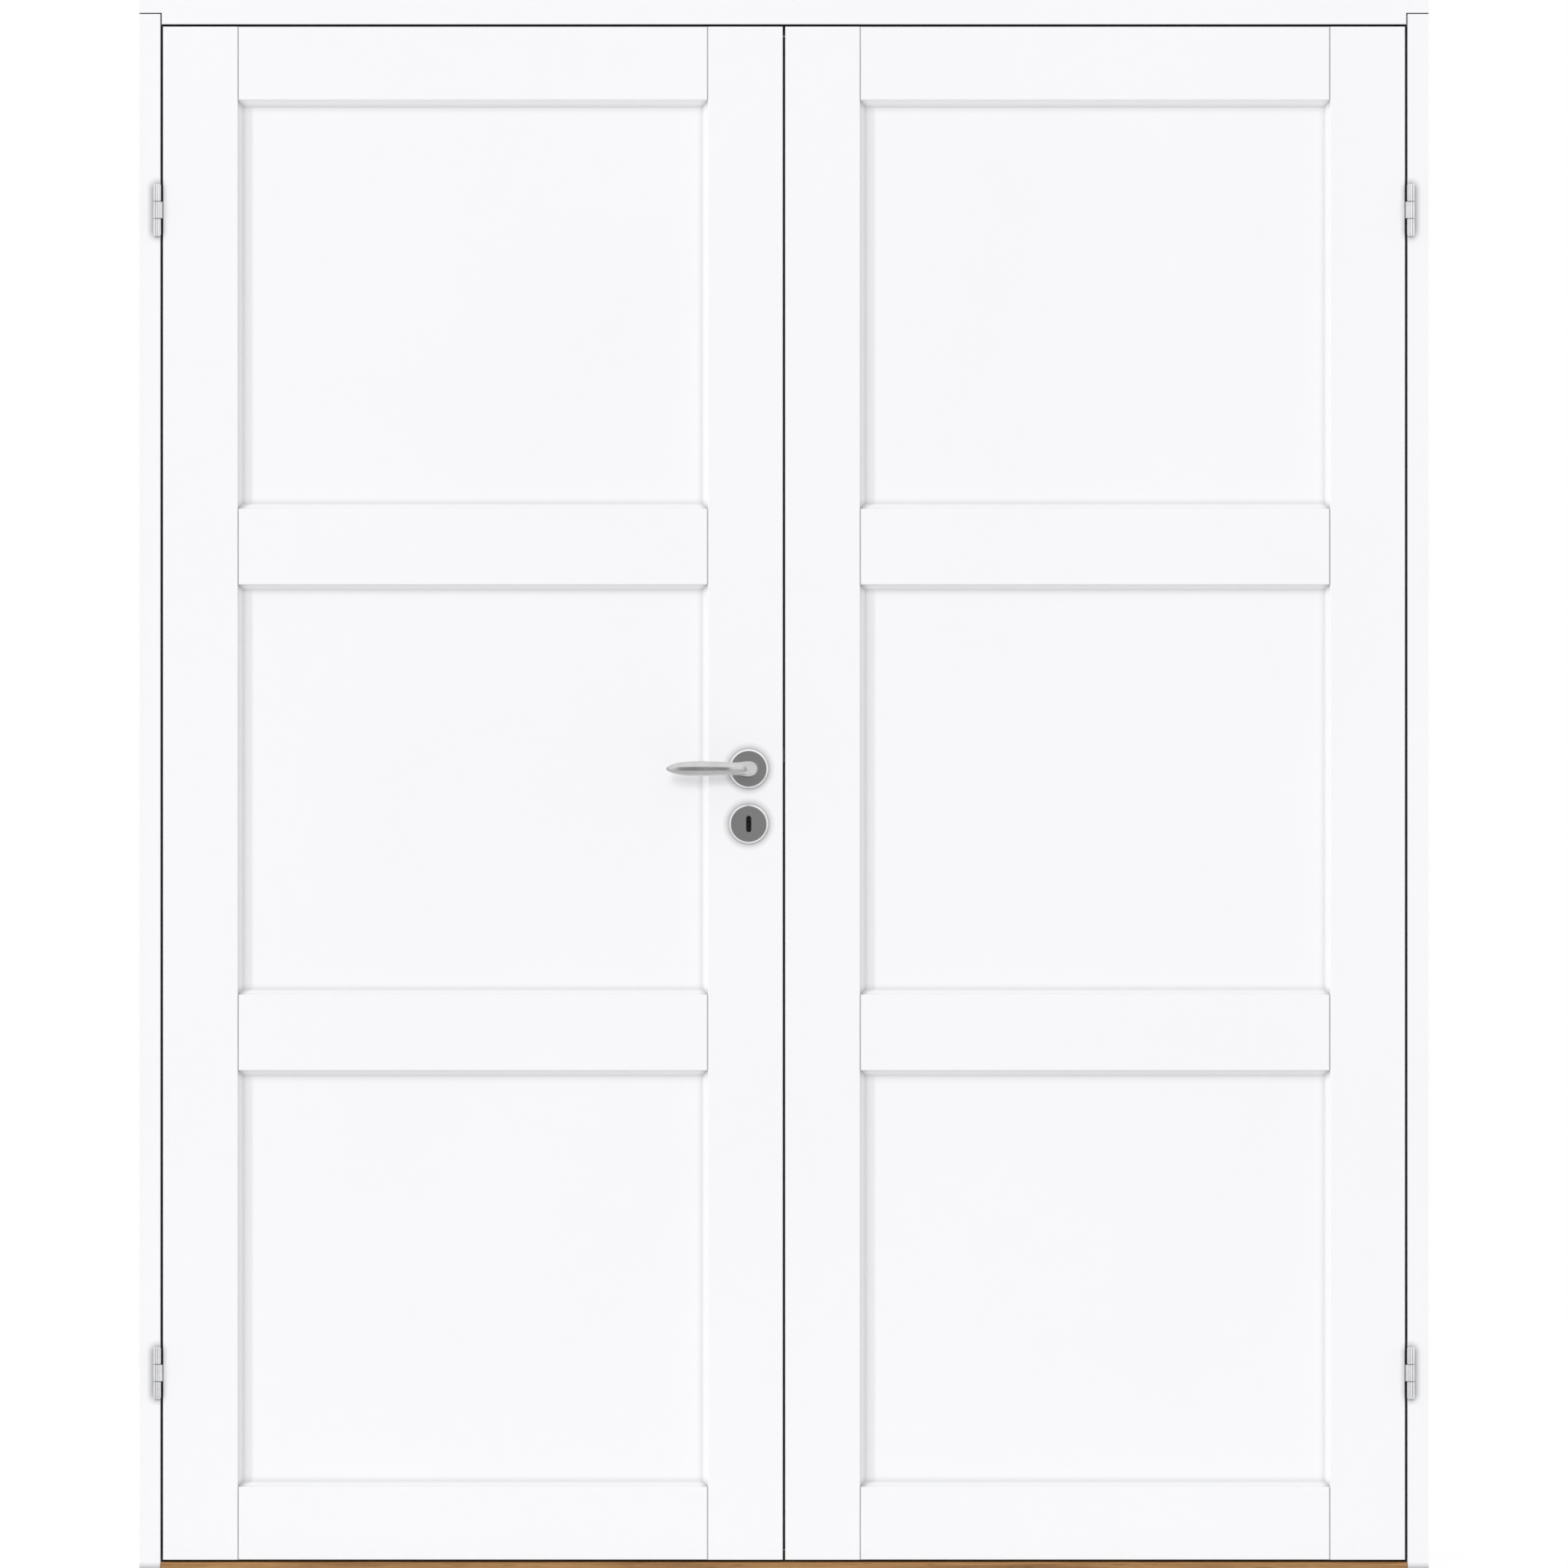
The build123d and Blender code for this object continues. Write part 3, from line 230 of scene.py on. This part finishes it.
def lacquer():
    """Satin white lacquer, rolled on: a fine orange peel, the faintest change of tone, and painted shade in
    its corners.
    """
    finish = Finish("white_lacquer_finish", lacquer_colour, roughness=0.36)
    tone = finish.noise(finish.place, scale=2.5, detail=3.0)
    peel = finish.noise(finish.place, scale=700.0, detail=1.0)
    swell = finish.noise(finish.place, scale=45.0)
    sheen = finish.between(finish.noise(finish.place, scale=18.0, detail=3.0), low=0.32, high=0.42)
    fine = finish.bump(peel, distance=0.000006)
    normal = finish.bump(swell, distance=0.00004, normal=fine)
    finish.connect(finish.shader, {"Specular IOR Level": 0.35})
    colour = finish.ramp(tone, [(0.3, lacquer_shade), (0.6, lacquer_colour)])
    # The base colour carries painted shade, darker near other surfaces.
    return finish.dress(Base_Color=finish.painted_corner_shade(colour), Roughness=sheen, Normal=normal)


def oak():
    """Oak along X: wide soft figure, fine streaks, and short dark pores under a thin clear coat."""
    finish = Finish("oak_finish", oak_middle, roughness=0.42)
    wide, narrow, dotted = (
        finish.stretched((along, across, across)) for along, across in ((1.6, 26), (5, 260), (30, 900))
    )
    figure = finish.noise(wide, scale=2.2, detail=4.0, roughness=0.6, distortion=0.9)
    streaks = finish.noise(narrow, scale=1.6, detail=5.0, roughness=0.65)
    pores = finish.noise(dotted, scale=1.0)
    soft = finish.math("MULTIPLY", figure, 0.55)
    grain = finish.math("ADD", soft, finish.math("MULTIPLY", streaks, 0.45))
    wood = finish.ramp(grain, [(0.36, oak_dark), (0.50, oak_middle), (0.64, oak_light)])
    mixed = finish.multiplied(0.8, wood, finish.ramp(pores, [(0.28, oak_pore), (0.40, no_pore)]))
    sheen = finish.between(grain, low=0.50, high=0.36)
    normal = finish.bump(streaks, distance=0.00008, normal=finish.bump(pores, distance=0.00005))
    finish.connect(finish.shader, {"Coat Weight": 0.15, "Coat Roughness": 0.3})
    return finish.dress(Base_Color=mixed, Roughness=sheen, Normal=normal)


def rubber():
    """Matt black seal rubber with a dusty, slightly uneven skin."""
    finish = Finish("seal_rubber_finish", rubber_colour, roughness=0.62)
    skin = finish.noise(finish.place, scale=900.0, detail=3.0)
    dust = finish.noise(finish.place, scale=30.0, detail=4.0)
    colour = finish.ramp(dust, [(0.35, rubber_colour), (0.75, rubber_dust)])
    roughness = finish.between(dust, low=0.55, high=0.72)
    normal = finish.bump(skin, distance=0.00002)
    return finish.dress(Base_Color=colour, Roughness=roughness, Normal=normal)


def brushed_metal(name, colour, roughness, stretch):
    """Metal with fine scratches, which are long on the axis where stretch is small."""
    finish = Finish(name, colour, roughness, metallic=1.0)
    scratches = finish.noise(finish.stretched(stretch), scale=1.0, detail=3.0, roughness=0.7)
    clouds = finish.noise(finish.place, scale=60.0, detail=3.0)
    dull = tuple(0.9 * level for level in colour)
    tint = finish.ramp(clouds, [(0.3, dull), (0.65, colour)])
    wear = finish.between(scratches, low=roughness - 0.06, high=roughness + 0.08)
    normal = finish.bump(scratches, distance=scratch_depth)
    return finish.dress(Base_Color=tint, Roughness=wear, Normal=normal)


def rose_metal(name, centre):
    """Satin steel turned in circles round centre: darker on the face as a painted dark reflection, and
    bright on the rim outside it as a painted highlight.
    """
    finish = Finish(name, rose_face_dark_reflection_colour, roughness=0.3, metallic=1.0)
    across = finish.math("SUBTRACT", finish.coordinate("X"), centre[0])
    up = finish.math("SUBTRACT", finish.coordinate("Z"), centre[2])
    across_squared = finish.math("MULTIPLY", across, across)
    up_squared = finish.math("MULTIPLY", up, up)
    radius = finish.math("SQRT", finish.math("ADD", across_squared, up_squared))
    rings = finish.add("ShaderNodeCombineXYZ", {"X": finish.math("MULTIPLY", radius, rings_per_metre)})
    circles = finish.noise(rings.outputs["Vector"], scale=1.0)
    # Outside face_radius the colour is the painted highlight of the rim.
    rim_highlight = finish.math("GREATER_THAN", radius, face_radius)
    colour = finish.ramp(rim_highlight, [(0.4, rose_face_dark_reflection_colour), (0.6, rose_rim_highlight_colour)])
    wear = finish.between(circles, low=0.26, high=0.38)
    normal = finish.bump(circles, distance=ring_depth)
    return finish.dress(Base_Color=colour, Roughness=wear, Normal=normal)


def pin_metal():
    """A hinge pin: dark between the knuckles, as painted shade seen in their gaps, with nickel heads above
    and below them.
    """
    finish = Finish("pin_finish", nickel_colour, roughness=0.3, metallic=1.0)
    height = finish.coordinate("Z")
    middles = (centre_of(f"{hinge}_left_frame_hinge")[2] for hinge in ("lower", "upper"))
    from_lower, from_upper = (
        finish.math("ABSOLUTE", finish.math("SUBTRACT", height, middle)) for middle in middles
    )
    nearest = finish.math("MINIMUM", from_lower, from_upper)
    head = finish.math("GREATER_THAN", nearest, pin_gap_shade_reach)
    smear = finish.noise(finish.place, scale=700.0, detail=3.0)
    # Near each hinge's middle the pin is painted dark, as shade in the knuckle gaps.
    colour = finish.ramp(head, [(0.4, pin_gap_shade_colour), (0.6, nickel_colour)])
    return finish.dress(Base_Color=colour, Roughness=finish.between(smear, low=0.22, high=0.4))


# Each brushed metal: its colour, its roughness, and how fine its scratches are along each axis
brushed = {
    "hinge_nickel": (nickel_colour, 0.17, (1500.0, 1500.0, 60.0)),
    "handle_steel": (handle_colour, 0.24, (60.0, 1500.0, 1500.0)),
    "lock_steel": (steel_colour, 0.34, (1200.0, 1200.0, 50.0)),
    "screw_steel": (screw_colour, 0.3, (900.0, 900.0, 900.0)),
    "sleeve_zinc": (zinc_colour, 0.4, (500.0, 500.0, 500.0)),
    "curtain_steel": (curtain_shade_colour, 0.45, (900.0, 900.0, 900.0)),
    "bolt_steel": (bolt_gap_shade_colour, 0.32, (60.0, 1200.0, 1200.0)),
}
finishes = {"white_lacquer": lacquer(), "oak": oak(), "seal_rubber": rubber(), "pin_steel": pin_metal()}
for name, look in brushed.items():
    finishes[name] = brushed_metal(f"{name}_finish", *look)

# Every CAD node gets the finish of its slot in the record, or its own where own_finish names one.
# The latch and dead bolts get dark steel as painted shade in the meeting gap.
own_finish = {"hinge_pins": "pin_steel", "latch_bolt": "bolt_steel", "dead_bolt": "bolt_steel"}
for kind in ("rose", "escutcheon"):
    finishes[kind] = rose_metal(f"{kind}_finish", centre_of(f"front_{kind}"))
    for face in ("front", "back"):
        own_finish[f"{face}_{kind}"] = kind
slot_of = {part["node"]: part["material_slot"] for part in frame["record"]["subparts"]}
for name, node in frame["nodes"].items():
    node.material_slots[0].material = finishes[own_finish.get(name, slot_of[name])]


def turned(name, centre, profile, steps=48):
    """A piece turned about a line along Y through centre. The profile has (radius, depth) points."""
    vertices, faces = [], []
    for radius, depth in profile:
        for step in range(steps):
            angle = 2 * math.pi * step / steps
            around = (radius * math.cos(angle), depth, radius * math.sin(angle))
            vertices.append(Vector(centre) + Vector(around))
    for ring in range(len(profile) - 1):
        for step in range(steps):
            ahead = (step + 1) % steps
            low, high = ring * steps, (ring + 1) * steps
            faces.append((low + step, low + ahead, high + ahead, high + step))
    faces.append(tuple(range(steps))[::-1])
    faces.append(tuple(range((len(profile) - 1) * steps, len(profile) * steps)))
    mesh = bpy.data.meshes.new(name)
    mesh.from_pydata(vertices, [], faces)
    mesh.validate()
    made = bpy.data.objects.new(name, mesh)
    bpy.context.collection.objects.link(made)
    return made


def key_curtain():
    """The disc inside the lock that turns with the key and keeps the keyhole from being seen through; its
    dark colour is painted shade in the keyhole.
    """
    keyhole = centre_of("front_escutcheon")
    centre = (keyhole[0], centre_of("lock_case")[1], keyhole[2])
    front = [(radius, -depth) for radius, depth in curtain_outline]
    edge = [(curtain_radius, 0.0)]
    back = curtain_outline[::-1]
    curtain = turned("key_curtain", centre, front + edge + back)
    curtain.data.materials.append(finishes["curtain_steel"])
    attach(curtain, "active_leaf")


def plane(name, centre, across, up):
    """A flat rectangle round centre, whose half sides are the vectors across and up."""
    centre, across, up = Vector(centre), Vector(across), Vector(up)
    corners = [centre - across - up, centre + across - up, centre + across + up, centre - across + up]
    mesh = bpy.data.meshes.new(name)
    mesh.from_pydata(corners, [], [(0, 1, 2, 3)])
    made = bpy.data.objects.new(name, mesh)
    bpy.context.collection.objects.link(made)
    return made


def bare_material(name):
    """A material with no shader yet, its nodes, and the input that a shader goes to."""
    material = bpy.data.materials.new(name)
    material.use_nodes = True
    tree = material.node_tree
    tree.nodes.remove(tree.nodes["Principled BSDF"])
    return material, tree, tree.nodes["Material Output"].inputs["Surface"]


def shader(tree, kind, setting, value):
    """A shader of this kind with one input set."""
    node = tree.nodes.new(kind)
    node.inputs[setting].default_value = value
    return node.outputs[0]


def seen_directly(tree):
    """1 for what the camera sees directly, in a mirror or through glass, and 0 for light."""
    path = tree.nodes.new("ShaderNodeLightPath")
    total = path.outputs["Is Camera Ray"]
    for name in ("Is Glossy Ray", "Is Transmission Ray"):
        either = tree.nodes.new("ShaderNodeMath")
        either.operation = "MAXIMUM"
        tree.links.new(total, either.inputs[0])
        tree.links.new(path.outputs[name], either.inputs[1])
        total = either.outputs[0]
    return total


def pale_floor():
    """A pale floor that looks white where nothing shades it, and keeps the shadow of the doors."""
    floor = plane("floor", floor_middle, (floor_half_width, 0, 0), (0, floor_half_depth, 0))
    material, tree, surface = bare_material("floor_finish")
    seen = tree.nodes.new("ShaderNodeAddShader")
    mix = tree.nodes.new("ShaderNodeMixShader")
    links = (
        (shader(tree, "ShaderNodeBsdfDiffuse", "Color", (*floor_seen_colour, 1)), seen.inputs[0]),
        (shader(tree, "ShaderNodeEmission", "Strength", floor_glow), seen.inputs[1]),
        (seen_directly(tree), mix.inputs[0]),
        (shader(tree, "ShaderNodeBsdfDiffuse", "Color", (*floor_lit_colour, 1)), mix.inputs[1]),
        (seen.outputs[0], mix.inputs[2]),
        (mix.outputs[0], surface),
    )
    for output, taker in links:
        tree.links.new(output, taker)
    floor.data.materials.append(material)


def grey_card(name, level, centre, across, up):
    """A grey card that only gloss shows, as the dark side of a studio does."""
    card = plane(name, centre, across, up)
    material, tree, surface = bare_material(f"{name}_finish")
    tree.links.new(shader(tree, "ShaderNodeEmission", "Strength", level), surface)
    card.data.materials.append(material)
    card.visible_camera = card.visible_diffuse = card.visible_shadow = False
    card.visible_transmission = card.visible_volume_scatter = False


def hinge_card(side):
    """A tall dark card beside the hinges of one side, which makes the dark stripe on their knuckles."""
    low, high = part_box("hinge_pins")
    towards = Vector((side * hinge_card_slope[0], hinge_card_slope[1], 0.0)).normalized()
    middle = Vector((side * (high[0] - hinge_card_inset), (low[1] + high[1]) / 2, high[2] / 2))
    across = Vector((-towards.y, towards.x, 0.0)) * hinge_card_width / 2
    name = "left_card" if side < 0 else "right_card"
    centre = middle + towards * hinge_card_distance
    grey_card(name, hinge_card_level, centre, across, (0, 0, high[2] / 2 + hinge_card_overhang))


def gloss_cards():
    """The grey cards before the handle, above the floor and beside the hinges."""
    grey_card("grey_card", card_level, card_middle, (card_half_width, 0, 0), (0, 0, card_half_height))
    middle = (0, 0, low_card_height)
    across, along = (low_card_half_side, 0, 0), (0, low_card_half_side, 0)
    grey_card("low_card", low_card_level, middle, across, along)
    for side in (-1, 1):
        hinge_card(side)


def surroundings():
    """White surroundings that shine softly and look white."""
    world = bpy.data.worlds.new("studio")
    bpy.context.scene.world = world
    world.use_nodes = True
    tree = world.node_tree
    background = tree.nodes["Background"]
    background.inputs["Color"].default_value = (1, 1, 1, 1)
    level = tree.nodes.new("ShaderNodeMapRange")
    level.inputs["To Min"].default_value = ambient_level
    level.inputs["To Max"].default_value = 1.0
    tree.links.new(seen_directly(tree), level.inputs["Value"])
    tree.links.new(level.outputs["Result"], background.inputs["Strength"])


def lamp(data, towards):
    """A lamp that shines on the doors from that direction and doesn't show in gloss."""
    made = bpy.data.objects.new(data.name, data)
    made.rotation_euler = towards.to_track_quat("Z", "Y").to_euler()
    made.visible_glossy = False
    bpy.context.collection.objects.link(made)
    return made


def key_lamp():
    """A soft lamp, nearly from the viewer."""
    towards = Vector(key_slope)
    data = bpy.data.lights.new("key", "SUN")
    data.energy = key_level * math.pi * towards.length
    data.angle = key_softness
    lamp(data, towards)


def side_lamp():
    """A tall lamp at the left, which makes the shade in the mouldings."""
    towards = Vector((*side_slope, 0.0)).normalized()
    data = bpy.data.lights.new("side", "AREA")
    data.shape = "RECTANGLE"
    data.size = side_lamp_width
    data.size_y = side_lamp_height
    facing_share = -towards.y
    solid_angle = side_lamp_width * side_lamp_height / side_distance**2
    brightness = side_level * math.pi / (facing_share * solid_angle)
    data.energy = brightness * math.pi * side_lamp_width * side_lamp_height
    made = lamp(data, towards)
    made.location = towards * side_distance + Vector((0, 0, side_lamp_height / 2))
    made.visible_camera = False

    # Only the woodwork shades this lamp: thin metal pieces would throw long stray shadows.
    shading = bpy.data.collections.new("side_shading")
    for name, node in frame["nodes"].items():
        if slot_of[name] in ("white_lacquer", "oak"):
            shading.objects.link(node)
    made.light_linking.blocker_collection = shading


def camera():
    """A very long lens straight before the doors: the view is nearly flat, as in the photograph."""
    leaf_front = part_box("active_top_rail")[0][1]
    frame_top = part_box("head")[1][2]
    data = bpy.data.cameras.new("camera")
    data.sensor_width = 1000 * camera_sensor
    data.lens = 1000 * camera_sensor * camera_distance / view_side
    data.clip_end = 3 * camera_distance
    made = bpy.data.objects.new("camera", data)
    made.location = (0, leaf_front - camera_distance, frame_top - view_side / 2)
    made.rotation_euler = (math.pi / 2, 0, 0)
    bpy.context.collection.objects.link(made)
    bpy.context.scene.camera = made


key_curtain()
camera()
pale_floor()
gloss_cards()
surroundings()
key_lamp()
side_lamp()
bpy.context.scene.view_settings.view_transform = "Standard"
